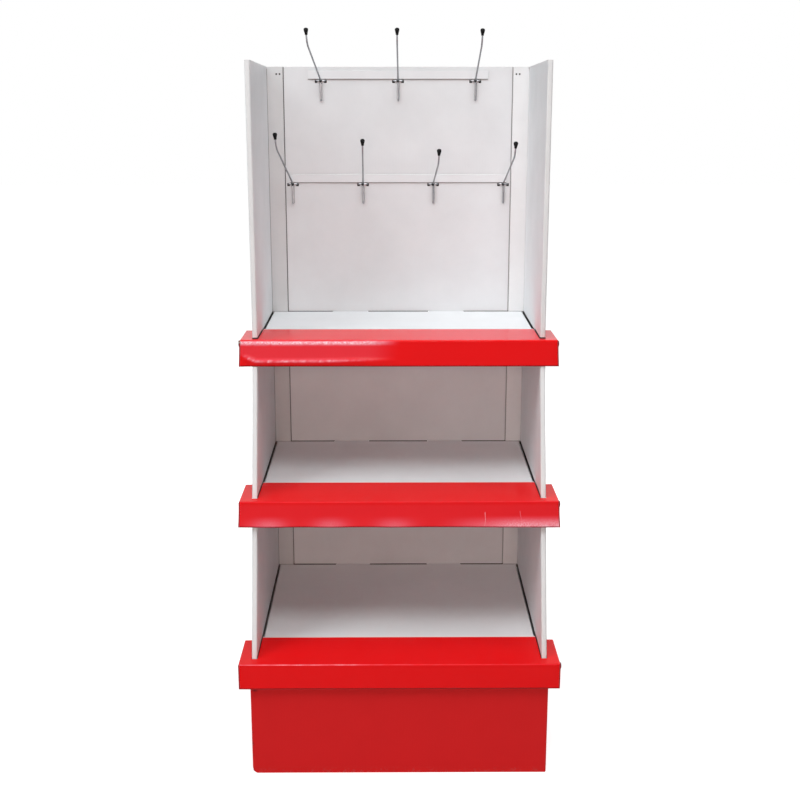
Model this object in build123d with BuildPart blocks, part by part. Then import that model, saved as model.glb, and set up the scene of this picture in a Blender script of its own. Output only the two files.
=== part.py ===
from build123d import *
import os
from math import cos, radians, sin

# A cardboard display stand for a shop floor: a plinth, a body of double-skinned sides and a back,
# three stepped shelves with capped front edges, and two rows of wire hooks on the upper back.
# Millimetres: X to the right, Y to the back, Z up, origin on the floor under the stand's middle.

# Boards and fits
board = 3.0
cap_card = 2.0
cut_clearance = 1.0
seat_clearance = 0.3
cut_overrun = 2.0

# Plinth
plinth_width = 600.0
plinth_depth = 541.0
plinth_corner = 3.5
nest_clearance = 0.5
back_room = 1.0
rib_spacing = 190.0

# Levels of the shelves, measured to the top of the caps
bottom_level = 247.0
level_pitch = 311.0
stand_height = 1412.0
shelf_names = ("bottom", "middle", "top")

# Caps on the shelves' front edges
ear_width = 24.5
cap_depth = 114.0
tongue_length = 17.0
lip_height = 54.0
lip_overhang = 14.0
level_setback = 87.5
cap_fold = 2.6
corner_tab_length = 32.0
flap_corner = 16.0

# Sides
spine_width = 10.6
spine_round = 2.8
skin_gap = 0.3
flange_width = 35.3
foot_setback = 27.0
head_setback = 17.5
relief_width = 3.0
relief_depth = 5.0
punch_diameter = 2.7
punch_spacing = 7.5
punch_inset = 10.5
punch_drop = 15.6

# Shelves
shelf_gap = 3.5
tray_depth = 46.0
tray_slit = 1.2
rear_tab_width = 80.0
rear_tab_spacing = 219.0
side_tab_width = 60.0
side_tab_shares = (0.25, 0.75)

# Hook rails
rail_height = 17.5
upper_rail_inset = 55.9
upper_rail_drop = 8.5
lower_rail_inset = 10.4
lower_rail_drop = 233.5

# Hooks: each has a crossbar with two prongs, a hairpin leg and an arm with an upturned end
bar_wire = 3.6
hook_wire = 3.2
bar_width = 24.0
bar_drop = 3.5
bar_bend = 2.9
prong_slot = 5.6
wire_sides = 8
prong_rise = 11.0
leg_length = 44.0
leg_width = 7.8
arm_length = 201.0
arm_bend = 14.0
end_length = 30.0
end_turn = 48.0
upper_hook_inset = 28.0
lower_hook_inset = 7.5

# Each hook's sideways swing and upward tilt from left to right, as shares of a quarter turn
quarter_turn = 90.0
upper_hook_shares = (("left", -0.054, 0.222), ("middle", -0.009, 0.222), ("right", 0.0, 0.218))
lower_hook_shares = (
    ("far_left", -0.066, 0.278),
    ("left", 0.014, 0.237),
    ("right", 0.016, 0.173),
    ("far_right", 0.021, 0.219),
)

# Plastic tips on the hooks
tip_length = 14.0
tip_neck = 5.4
tip_head = 8.6
tip_chamfer = 1.8
tip_sides = 12
tip_cover = 12.0
tip_fit = 0.05

# Rivets at the caps' ends
rivet_head = 11.5
rivet_proud = 3.0
rivet_chamfer = 1.6
rivet_shank = 5.6
rivet_hole = 6.0
rivet_drop = 10.0
rivet_inset = 14.0
rivet_washer = 2.0
rivet_sides = 16
rivet_places = (("bottom", "right"), ("middle", "right"), ("top", "right"), ("top", "left"))

# Places that several pieces share
level_steps = range(len(shelf_names))
levels = [bottom_level + level_pitch * step for step in level_steps]
plinth_front = -(plinth_depth - lip_overhang) / 2
plinth_rear = plinth_front + plinth_depth
plinth_height = bottom_level - cap_card - board
cap_fronts = [plinth_front - lip_overhang + level_setback * step for step in level_steps]
back_rear = plinth_rear - board - back_room
back_front = back_rear - board
flange_front = back_front - board
body_half = plinth_width / 2 - board - nest_clearance
inner_half_front = body_half - spine_width
inner_half_rear = body_half - board - skin_gap - board
flange_edge = inner_half_rear - flange_width
cap_width = 2 * (body_half + ear_width)
side_foot = cap_fronts[0] + foot_setback
side_head = cap_fronts[-1] + head_setback
tray_bottoms = [level - cap_card - board - tray_depth for level in levels]
shelf_rear = flange_front - cut_clearance
shelf_fronts = [front + cap_card + seat_clearance for front in cap_fronts]
side_tab_end = body_half - board - skin_gap
upper_rail_length = 2 * (flange_edge - upper_rail_inset)
lower_rail_length = 2 * (flange_edge - lower_rail_inset)
upper_rail_top = stand_height - upper_rail_drop
lower_rail_top = stand_height - lower_rail_drop
upper_bar = upper_rail_top - rail_height - bar_drop
lower_bar = lower_rail_top - rail_height - bar_drop
prong_spacing = bar_width - bar_wire

os.makedirs("parts", exist_ok=True)


def save(piece, label):
    """Names a finished piece and writes it."""
    piece.part.label = label
    export_step(piece.part, f"parts/{label}.step")


def side_front(height):
    """Front edge of the sides at a height: upright, slanted between the levels, then upright again."""
    slant_share = (height - levels[0]) / (levels[-1] - levels[0])
    slant_share = min(max(slant_share, 0), 1)
    return side_foot + (side_head - side_foot) * slant_share


def shelf_half(step, distance):
    """Half width of a shelf at a distance from its front, following the sides' inner skins."""
    depth = shelf_rear - shelf_fronts[step]
    return inner_half_front - shelf_gap + (inner_half_rear - inner_half_front) * distance / depth


def side_tab_places(step):
    """Distances of a shelf's side tabs from its front edge."""
    return [(shelf_rear - shelf_fronts[step]) * share for share in side_tab_shares]


def hook_places():
    """Each hook's name, foot at the middle of its crossbar, swing and tilt."""
    bar_y = back_front - seat_clearance / 2 - bar_wire / 2
    rows = (
        ("upper", upper_hook_shares, upper_rail_length / 2 - upper_hook_inset, upper_bar),
        ("lower", lower_hook_shares, lower_rail_length / 2 - lower_hook_inset, lower_bar),
    )
    places = []
    for row, hooks, row_half, bar in rows:
        pitch = 2 * row_half / (len(hooks) - 1)
        for column, (name, swing_share, tilt_share) in enumerate(hooks):
            foot = Vector(pitch * column - row_half, bar_y, bar)
            places.append((f"{row}_{name}", foot, swing_share * quarter_turn, tilt_share * quarter_turn))
    return places


def arm_direction(swing, tilt):
    """Direction of an arm that points to the front, swung sideways and tilted up."""
    level_share = cos(radians(tilt))
    return Vector(sin(radians(swing)) * level_share, -cos(radians(swing)) * level_share, sin(radians(tilt)))


# Plinth: one printed sheet wrapped round the foot of the body
plinth_middle = (plinth_front + plinth_rear) / 2
with BuildPart() as plinth:
    with BuildSketch() as plinth_plan:
        with Locations((0, plinth_middle)):
            Rectangle(plinth_width, plinth_depth)
        fillet(plinth_plan.vertices(), radius=plinth_corner)
        offset(amount=-board, mode=Mode.SUBTRACT)
    extrude(amount=plinth_height)
save(plinth, "plinth")

# Insert: a sheet folded to a channel inside the plinth, with two ribs that carry the bottom shelf
insert_front = plinth_front + board + board / 2
insert_rear = back_front - cut_clearance
with BuildPart() as plinth_insert:
    with BuildSketch():
        with BuildLine() as insert_line:
            Polyline(
                (-rib_spacing / 2, insert_rear),
                (-rib_spacing / 2, insert_front),
                (rib_spacing / 2, insert_front),
                (rib_spacing / 2, insert_rear),
            )
        trace(insert_line.edges(), line_width=board)
    extrude(amount=plinth_height)
    insert_folds = plinth_insert.edges().filter_by(Axis.Z).group_by(Axis.Y)[0]
    fillet(insert_folds, radius=board)
save(plinth_insert, "plinth_insert")

# Sides: a sheet folded round a rounded front spine, with its inner skin ending in a flange on the back
with BuildPart() as right_side:
    for height in (0, levels[0], levels[-1], stand_height):
        with BuildSketch(Plane.XY.offset(height)) as side_plan:
            with BuildLine():
                Polyline(
                    (body_half, side_front(height)),
                    (body_half, back_rear),
                    (body_half - board, back_rear),
                    (body_half - board, side_front(height) + board),
                    (inner_half_front + board, side_front(height) + board),
                    (inner_half_rear + board, back_front),
                    (flange_edge, back_front),
                    (flange_edge, flange_front),
                    (inner_half_rear, flange_front),
                    (inner_half_front, side_front(height)),
                    close=True,
                )
            make_face()
            fillet(side_plan.vertices().sort_by(Axis.Y)[:2], radius=spine_round)
    loft(ruled=True)
    # slots in the inner skin for the shelves' side tabs
    slot_start = inner_half_front - cut_overrun
    slot_end = side_tab_end + skin_gap / 2
    for step in level_steps:
        for distance in side_tab_places(step):
            slot_middle = ((slot_start + slot_end) / 2, shelf_fronts[step] + distance, tray_bottoms[step] + board / 2)
            with Locations(slot_middle):
                Box(
                    slot_end - slot_start,
                    side_tab_width + 2 * cut_clearance,
                    board + 2 * seat_clearance,
                    mode=Mode.SUBTRACT,
                )
    # relief at the top of the flange's fold
    with Locations((inner_half_rear, flange_front + board / 2, stand_height)):
        Box(relief_width, board + 2 * cut_clearance, 2 * relief_depth, mode=Mode.SUBTRACT)
    # two punched holes near the top of the flange
    with BuildSketch(Plane.XZ.offset(-back_front - cut_overrun)):
        with Locations((flange_edge + punch_inset, stand_height - punch_drop)):
            with GridLocations(punch_spacing, 0, 2, 1):
                Circle(punch_diameter / 2)
    extrude(amount=board + 2 * cut_overrun, mode=Mode.SUBTRACT)
save(right_side, "right_side")

with BuildPart() as left_side:
    mirror(right_side.part, about=Plane.YZ)
save(left_side, "left_side")

# Back panel: a flat sheet behind the flanges, slotted for the shelves and drilled for the hooks
back_width = 2 * (body_half - board - seat_clearance)
with BuildPart() as back_panel:
    with BuildSketch(Plane.XZ.offset(-back_rear)):
        with Locations((0, stand_height / 2)):
            Rectangle(back_width, stand_height)
        for level in levels:
            with Locations((0, level - cap_card - board / 2)):
                with GridLocations(rear_tab_spacing, 0, 2, 1):
                    Rectangle(rear_tab_width + 2 * cut_clearance, board + 2 * seat_clearance, mode=Mode.SUBTRACT)
        for name, foot, swing, tilt in hook_places():
            with Locations((foot.X, foot.Z)):
                with GridLocations(prong_spacing, 0, 2, 1):
                    Rectangle(prong_slot, prong_slot, mode=Mode.SUBTRACT)
    extrude(amount=board)
save(back_panel, "back_panel")

# Shelves: trays folded down at the front and sides, with tabs into the back and the sides
for step in level_steps:
    tray_top = levels[step] - cap_card
    front = shelf_fronts[step]
    depth = shelf_rear - front
    front_half = shelf_half(step, 0)
    rear_half = shelf_half(step, depth)
    with BuildPart() as shelf:
        with BuildSketch(Plane.XY.offset(tray_bottoms[step])):
            with BuildLine():
                Polyline(
                    (-front_half, front),
                    (front_half, front),
                    (rear_half, shelf_rear),
                    (-rear_half, shelf_rear),
                    close=True,
                )
            make_face()
        extrude(amount=board + tray_depth)
        tray_folds = shelf.faces().sort_by(Axis.Z)[-1].edges().sort_by(Axis.Y)[:3]
        fillet(tray_folds, radius=board)
        # hollow under the tray, open at the back
        with BuildSketch(Plane.XY.offset(tray_bottoms[step])):
            with BuildLine():
                Polyline(
                    (-front_half + board, front + board),
                    (front_half - board, front + board),
                    (rear_half - board, shelf_rear + cut_overrun),
                    (-rear_half + board, shelf_rear + cut_overrun),
                    close=True,
                )
            make_face()
        extrude(amount=tray_depth, mode=Mode.SUBTRACT)
        # slits that part the side walls from the front wall, and clear the plinth on the bottom shelf
        slit_front = front + board
        slit_rear = max(slit_front + tray_slit, plinth_front + board + cut_clearance)
        with BuildSketch(Plane.XY.offset(tray_bottoms[step])):
            with Locations((0, (slit_front + slit_rear) / 2)):
                Rectangle(2 * (front_half + cut_overrun), slit_rear - slit_front)
        extrude(amount=tray_depth, mode=Mode.SUBTRACT)
        # rear tabs
        rear_tab_length = back_rear - shelf_rear
        with BuildSketch(Plane.XY.offset(tray_top - board)):
            with Locations((0, shelf_rear + rear_tab_length / 2)):
                with GridLocations(rear_tab_spacing, 0, 2, 1):
                    Rectangle(rear_tab_width, rear_tab_length)
        extrude(amount=board)
        # side tabs turned out at the foot of the side walls
        with BuildSketch(Plane.XY.offset(tray_bottoms[step])):
            for distance in side_tab_places(step):
                tab_start = shelf_half(step, distance) - board
                tab_middle = (tab_start + side_tab_end) / 2
                with Locations((tab_middle, front + distance), (-tab_middle, front + distance)):
                    Rectangle(side_tab_end - tab_start, side_tab_width)
        extrude(amount=board)
    save(shelf, f"shelf_{shelf_names[step]}")

# Caps: glossy card folded over each shelf's front edge, notched round the sides
notch_width = spine_width + 2 * cut_clearance
notch_middle = body_half - spine_width / 2
lip_half = cap_width / 2 - cap_card - seat_clearance
for step in level_steps:
    level = levels[step]
    front = cap_fronts[step]
    notch_front = side_front(level) - cut_clearance
    notch_length = front + cap_depth - notch_front
    with BuildPart() as cap:
        with BuildSketch(Plane.XY.offset(level - lip_height)):
            with Locations((0, front + cap_depth / 2)):
                Rectangle(cap_width, cap_depth)
        extrude(amount=lip_height)
        fillet(cap.faces().sort_by(Axis.Z)[-1].edges().sort_by(Axis.Y)[:3], radius=cap_fold)
        # space under the card, open below and at the back
        inner_depth = cap_depth - cap_card + cut_overrun
        with BuildSketch(Plane.XY.offset(level - lip_height)):
            with Locations((0, front + cap_card + inner_depth / 2)):
                Rectangle(cap_width - 2 * cap_card, inner_depth)
        extrude(amount=lip_height - cap_card, mode=Mode.SUBTRACT)
        # rounded rear corners of the end flaps
        fillet(cap.edges().filter_by(Axis.X).group_by(Axis.Z)[0].sort_by(Axis.Y)[-2:], radius=flap_corner)
        # notches in the top panel, open to the back
        with BuildSketch(Plane.XY.offset(level)):
            with Locations((0, notch_front + notch_length / 2)):
                with GridLocations(2 * notch_middle, 0, 2, 1):
                    Rectangle(notch_width, notch_length)
        extrude(amount=-cap_card, mode=Mode.SUBTRACT)
        # tongue between the notches, which runs further back over the shelf
        with BuildSketch(Plane.XY.offset(level)):
            with Locations((0, front + cap_depth + tongue_length / 2)):
                Rectangle(2 * notch_middle - notch_width, tongue_length)
        extrude(amount=-cap_card)
        # slits that part the lip from the end flaps
        with BuildSketch(Plane.XY.offset(level - lip_height)):
            with Locations((0, front + cap_card / 2)):
                with GridLocations(2 * lip_half + seat_clearance, 0, 2, 1):
                    Rectangle(seat_clearance, cap_card)
        extrude(amount=lip_height - cap_card - cap_fold, mode=Mode.SUBTRACT)
        # tabs folded back from the lip's ends, inside the flaps
        tab_height = lip_height - cap_card - seat_clearance
        with BuildSketch(Plane.XY.offset(level - lip_height)):
            with Locations((0, front + corner_tab_length / 2)):
                with GridLocations(2 * lip_half - cap_card, 0, 2, 1):
                    Rectangle(cap_card, corner_tab_length)
        extrude(amount=tab_height)
        # rivet holes through the flaps and tabs
        with BuildSketch(Plane.YZ.offset(-cap_width / 2 - cut_overrun)):
            with Locations((front + rivet_inset, level - rivet_drop)):
                Circle(rivet_hole / 2)
        extrude(amount=cap_width + 2 * cut_overrun, mode=Mode.SUBTRACT)
    save(cap, f"cap_{shelf_names[step]}")

# Rivets: a domed head outside, a shank through flap and tab, and a washer inside
rivet_grip = cap_width / 2 - lip_half + cap_card
with BuildPart() as cap_rivets:
    for level_name, side_name in rivet_places:
        step = shelf_names.index(level_name)
        side = 1 if side_name == "right" else -1
        place = (cap_fronts[step] + rivet_inset, levels[step] - rivet_drop)
        with BuildSketch(Plane.YZ.offset(side * cap_width / 2)):
            with Locations(place):
                RegularPolygon(rivet_head / 2, rivet_sides)
        extrude(amount=side * rivet_proud)
        with BuildSketch(Plane.YZ.offset(side * cap_width / 2)):
            with Locations(place):
                RegularPolygon(rivet_shank / 2, rivet_sides)
        extrude(amount=-side * (rivet_grip + rivet_washer))
        with BuildSketch(Plane.YZ.offset(side * (cap_width / 2 - rivet_grip))):
            with Locations(place):
                RegularPolygon(rivet_head / 2, rivet_sides)
        extrude(amount=-side * rivet_washer)
    dome_faces = cap_rivets.faces().group_by(Axis.X)
    chamfer(dome_faces[0].edges() + dome_faces[-1].edges(), length=rivet_chamfer)
save(cap_rivets, "cap_rivets")

# Hook rails: two strips on the front of the back panel
for name, length, top in (
    ("upper", upper_rail_length, upper_rail_top),
    ("lower", lower_rail_length, lower_rail_top),
):
    with BuildPart() as hook_rail:
        with BuildSketch(Plane.XZ.offset(-back_front)):
            with Locations((0, top - rail_height / 2)):
                Rectangle(length, rail_height)
        extrude(amount=board)
    save(hook_rail, f"hook_rail_{name}")

# Hooks and tips
tail_y = back_rear + seat_clearance / 2 + bar_wire / 2
leg_half = (leg_width - hook_wire) / 2
for name, foot, swing, tilt in hook_places():
    prong_x = prong_spacing / 2
    with BuildPart() as hook:
        # crossbar on the panel's face, with its ends through the panel and turned up behind it
        with BuildLine() as bar_path:
            FilletPolyline(
                (foot.X - prong_x, tail_y, foot.Z + prong_rise),
                (foot.X - prong_x, tail_y, foot.Z),
                (foot.X - prong_x, foot.Y, foot.Z),
                (foot.X + prong_x, foot.Y, foot.Z),
                (foot.X + prong_x, tail_y, foot.Z),
                (foot.X + prong_x, tail_y, foot.Z + prong_rise),
                radius=bar_bend,
            )
        with BuildSketch(Plane(bar_path.line @ 0, z_dir=bar_path.line % 0)):
            RegularPolygon(bar_wire / 2, wire_sides)
        sweep(path=bar_path.line)
        # hairpin leg below the crossbar
        leg_foot = foot.Z - leg_length + hook_wire / 2
        with BuildLine() as leg_path:
            left_run = Line((foot.X - leg_half, foot.Y, foot.Z), (foot.X - leg_half, foot.Y, leg_foot + leg_half))
            right_run = Line((foot.X + leg_half, foot.Y, leg_foot + leg_half), (foot.X + leg_half, foot.Y, foot.Z))
            ThreePointArc(left_run @ 1, (foot.X, foot.Y, leg_foot), right_run @ 0)
        with BuildSketch(Plane(left_run @ 0, z_dir=left_run % 0)):
            RegularPolygon(hook_wire / 2, wire_sides)
        sweep(path=leg_path.wire())
        # arm with its upturned end
        bend = foot + arm_direction(swing, tilt) * arm_length
        end_direction = arm_direction(swing, tilt + end_turn)
        with BuildLine() as arm_path:
            FilletPolyline(foot, bend, bend + end_direction * end_length, radius=arm_bend)
        with BuildSketch(Plane(arm_path.line @ 0, z_dir=arm_path.line % 0)):
            RegularPolygon(hook_wire / 2, wire_sides)
        sweep(path=arm_path.line)
    save(hook, f"hook_{name}")

    tip_plane = Plane(bend + end_direction * (end_length - tip_cover), z_dir=end_direction)
    tip_axis = Axis(tip_plane.origin, end_direction)
    with BuildPart() as hook_tip:
        with BuildSketch(tip_plane):
            RegularPolygon(tip_neck / 2, tip_sides)
        with BuildSketch(tip_plane.offset(tip_length)):
            RegularPolygon(tip_head / 2, tip_sides)
        loft()
        chamfer(hook_tip.faces().sort_by(tip_axis)[-1].edges(), length=tip_chamfer)
        with BuildSketch(tip_plane):
            RegularPolygon(hook_wire / 2 + tip_fit, tip_sides, major_radius=False)
        extrude(amount=tip_cover + tip_fit, mode=Mode.SUBTRACT)
    save(hook_tip, f"hook_tip_{name}")
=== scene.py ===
from math import cos, exp, hypot, pi, radians, sin, sqrt

import bmesh
import bpy
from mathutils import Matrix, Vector, noise


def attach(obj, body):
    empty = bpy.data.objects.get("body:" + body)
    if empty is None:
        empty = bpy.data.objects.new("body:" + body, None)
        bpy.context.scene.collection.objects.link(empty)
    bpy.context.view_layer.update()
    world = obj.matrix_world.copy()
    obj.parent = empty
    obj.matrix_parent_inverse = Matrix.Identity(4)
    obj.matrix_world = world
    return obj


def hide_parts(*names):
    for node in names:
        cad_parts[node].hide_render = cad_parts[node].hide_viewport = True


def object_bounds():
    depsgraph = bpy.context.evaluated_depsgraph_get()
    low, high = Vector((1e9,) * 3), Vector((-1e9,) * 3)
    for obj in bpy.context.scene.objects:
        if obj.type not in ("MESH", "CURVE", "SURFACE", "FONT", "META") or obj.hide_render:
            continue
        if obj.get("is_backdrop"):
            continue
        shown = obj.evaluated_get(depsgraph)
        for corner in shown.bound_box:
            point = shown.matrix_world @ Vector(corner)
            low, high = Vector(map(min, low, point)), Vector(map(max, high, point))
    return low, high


# A cardboard display stand, dressed as what it is made of: flat blanks of board and film-faced card
# that are cut, folded and given their thickness, bent zinc-plated wire, and small plastic mouldings.
# Sizes are millimetres, as in the part, and become metres where a mesh or a node takes them. The floor, the
# lamps and the camera are set in metres.

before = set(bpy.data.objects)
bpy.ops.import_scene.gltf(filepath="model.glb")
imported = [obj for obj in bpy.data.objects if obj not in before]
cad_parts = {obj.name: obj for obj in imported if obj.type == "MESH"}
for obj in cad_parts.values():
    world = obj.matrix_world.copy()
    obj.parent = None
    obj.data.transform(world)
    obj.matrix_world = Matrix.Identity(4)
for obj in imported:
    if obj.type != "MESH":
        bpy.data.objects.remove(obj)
cad_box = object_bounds()
MM = 0.001

# Two places closer than this are one, the shade of a dark line ends this far outside it, and a tab has this
# much play in its slot
same_place = 0.01
shade_end = 0.3
slot_play = 0.3
# Close lines beside a fold and a bend keep flat board shading flat
fold_margin = 0.6
bend_margin = 0.8
# Points of a bend between its ends, as shares of its turn
bend_shares = (0.25, 0.5, 0.75)
# The most that a sheet's back is set off at a sharp corner, in thicknesses
corner_reach = 1.5

# Board and card
board = 3.0
cap_card = 2.0
flute_pitch = 6.5

# The stand's main places
stand_height = 1412.0
levels = (247.0, 558.0, 869.0)
level_names = ("bottom", "middle", "top")
body_half = 296.5
inner_half_front = 285.9
inner_half_rear = 290.2
flange_front = 267.5
flange_edge = 254.9
back_front = 270.5
back_rear = 273.5

# Plinth
plinth_half = 300.0
plinth_front = -263.5
plinth_rear = 277.5
plinth_height = 242.0
plinth_corner = 3.5
plinth_seam = 190.0
plinth_cell = 20
seam_gap = 0.6
plinth_bulge = 1.4
# The crushed foot corner: how far it reaches, and how it is pushed across, back and up
crush_reach = 11.0
crush_push = (2.6, 2.0, 4.0)

# Sides
side_foot = -250.5
side_head = -85.0
spine_bend = 2.8
flange_bend = 1.2
punch_places = (261.65, 269.15)
punch_height = 1396.4
punch_radius = 1.6
punch_cell = 2.2
punch_mark_rise = 1.8
fold_notch = 5.0
side_cell = 45

# Back
sunk_depth = 0.7 * board
# Lines of the sunk joint beside each flange, painted dark as shade, inward from the flange's edge
joint_steps = (2.2, 2.1, 0.4, 0.3)
back_cell = 60

# Shelves
shelf_gap = 3.5
shelf_rear = 266.5
tray_wall = 46.0
tray_fold = 3.0
tray_slit = 4.2
shelf_sag = 1.6
shelf_cell = 30
rear_tab_half = 40.0
rear_tab_place = 109.5
side_tab_half = 30.0
side_tab_shares = (0.25, 0.75)

# Caps
cap_depth = 114.0
tongue_length = 17.0
cap_half = 321.0
lip_height = 54.0
lip_half = 318.7
cap_fronts = (-277.5, -190.0, -102.5)
notch_edges = (284.9, 297.5)
corner_tab = 32.0
flap_corner = 16.0
lip_slit = 2.6
end_bend = 2.6
tight_bend = 2.6
cap_cell = 4.5
panel_row = 6
lip_row = 2.2
rivet_inset = 14.0
rivet_drop = 10.0
rivet_hole = 3.0
# Cap and end of each rivet
rivet_places = (("bottom", 1), ("middle", 1), ("top", 1), ("top", -1))

# Rails and hooks
rail_height = 17.5
# Half width and top of each rail, and the shade below it, downward from its lower edge
rails = {"upper": (199.0, 1403.5), "lower": (244.5, 1178.5)}
rail_shade = (-0.5, 1.2)
rail_crush = 0.5
rail_cells = (40, 6)
bar_y = 268.55
tail_y = 275.45
bar_radius = 1.8
wire_radius = 1.8
prong_half = 10.2
# Sides and ends of the sunk marks, painted dark as shade, where the prongs go through the back
slot_sides = (-3.0, -2.9, 2.9, 3.0)
slot_ends = (-5.1, -5.0, 1.4, 1.5)
prong_rise = 11.0
leg_length = 44.0
# The two wires of the hairpin leg: place across from the hook's middle, and depth
leg_places = ((-0.5, 264.7), (1.2, 268.4))
leg_bend = 1.95
leg_end_drop = 4.5
weld_sink = 0.5
weld_shift = (-0.3, -0.4)
weld_shade_reach = 4.6
prong_bend = 2.9
arm_start_rises = (-4.0, 1.0)
arm_start_bends = (8.0, 2.5)
arm_length = 201.0
arm_bend = 40.0
end_length = 30.0
end_turn = 48.0
tip_cover = 12.0
quarter_turn = 90.0
# Each hook's name, place across, height, and swing and tilt of its arm as shares of a quarter turn
hooks = (
    ("upper_left", -171.0, 1382.5, -0.054, 0.222),
    ("upper_middle", 0.0, 1382.5, -0.009, 0.222),
    ("upper_right", 171.0, 1382.5, 0.0, 0.218),
    ("lower_far_left", -237.0, 1157.5, -0.066, 0.278),
    ("lower_left", -79.0, 1157.5, 0.014, 0.237),
    ("lower_right", 79.0, 1157.5, 0.016, 0.173),
    ("lower_far_right", 237.0, 1157.5, 0.021, 0.219),
)


# Materials

def colour(code):
    """Linear colour of an sRGB hex value."""
    shares = [int(code[place:place + 2], 16) / 255 for place in (1, 3, 5)]
    linear = [share / 12.92 if share <= 0.04045 else ((share + 0.055) / 1.055) ** 2.4 for share in shares]
    return (*linear, 1.0)


def per_size(size):
    """Scale of a noise whose patches are about this many millimetres across."""
    return 1 / (size * MM)


def per_band(pitch):
    """Scale of a wave texture whose bands are this many millimetres apart."""
    return 2 * pi / 20 / (pitch * MM)


def node(tree, kind, inputs=None, **settings):
    """Adds a node: settings are its properties, inputs are values or the sockets that feed it."""
    made = tree.nodes.new(kind)
    for name, value in settings.items():
        setattr(made, name, value)
    for name, value in (inputs or {}).items():
        if isinstance(value, bpy.types.NodeSocket):
            tree.links.new(value, made.inputs[name])
        else:
            made.inputs[name].default_value = value
    return made


def new_material(name):
    """An empty material and its node tree."""
    made = bpy.data.materials.new(name)
    made.use_nodes = True
    made.node_tree.nodes.clear()
    return made, made.node_tree


# Sockets of a colour mix
MIX_LOW, MIX_HIGH, MIX_RESULT = 6, 7, 2


def white_lined_board(name, pale, dull_patch):
    """White-lined corrugated board: a matte coated liner, a bit cloudy, with faint ribs over its flutes."""
    made, tree = new_material(name)
    place = node(tree, "ShaderNodeTexCoord").outputs["Object"]
    blank = node(tree, "ShaderNodeAttribute", attribute_name="blank").outputs["Vector"]
    cloud = node(tree, "ShaderNodeTexNoise", {
        "Vector": place, "Scale": per_size(90), "Detail": 5, "Roughness": 0.6})
    fibre = node(tree, "ShaderNodeTexNoise", {
        "Vector": place, "Scale": per_size(3), "Detail": 3, "Roughness": 0.7})
    ribs = node(tree, "ShaderNodeTexWave", {
        "Vector": blank, "Scale": per_band(flute_pitch), "Distortion": 0.0})
    patch = node(tree, "ShaderNodeMapRange", {
        "Value": cloud.outputs["Fac"], "From Min": 0.35, "From Max": 0.68})
    liner = node(tree, "ShaderNodeMix", {
        0: patch.outputs["Result"], MIX_LOW: colour(pale), MIX_HIGH: colour(dull_patch)}, data_type="RGBA")
    speck = node(tree, "ShaderNodeMapRange", {
        "Value": fibre.outputs["Fac"], "From Min": 0.62, "From Max": 0.8, "To Max": 0.35})
    paper = node(tree, "ShaderNodeMix", {
        0: speck.outputs["Result"], MIX_LOW: liner.outputs[MIX_RESULT], MIX_HIGH: colour("#CDCBCC")},
        data_type="RGBA")
    # The crease attribute darkens the board: painted shade in folds, gaps, joints, slots and under the rails
    crease = node(tree, "ShaderNodeAttribute", attribute_name="crease").outputs["Fac"]
    scored_and_shaded = node(tree, "ShaderNodeMix", {
        0: crease, MIX_LOW: paper.outputs[MIX_RESULT], MIX_HIGH: colour("#2B2728")}, data_type="RGBA")
    dull = node(tree, "ShaderNodeMapRange", {"Value": cloud.outputs["Fac"], "To Min": 0.56, "To Max": 0.7})
    washboard = node(tree, "ShaderNodeBump", {
        "Height": ribs.outputs["Fac"], "Strength": 0.25, "Distance": 0.08 * MM})
    grain = node(tree, "ShaderNodeBump", {
        "Height": fibre.outputs["Fac"], "Strength": 0.3, "Distance": 0.05 * MM,
        "Normal": washboard.outputs["Normal"]})
    shader = node(tree, "ShaderNodeBsdfPrincipled", {
        "Base Color": scored_and_shaded.outputs[MIX_RESULT], "Roughness": dull.outputs["Result"], "IOR": 1.5,
        "Specular IOR Level": 0.35, "Normal": grain.outputs["Normal"]})
    node(tree, "ShaderNodeOutputMaterial", {"Surface": shader.outputs["BSDF"]})
    return made


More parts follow.
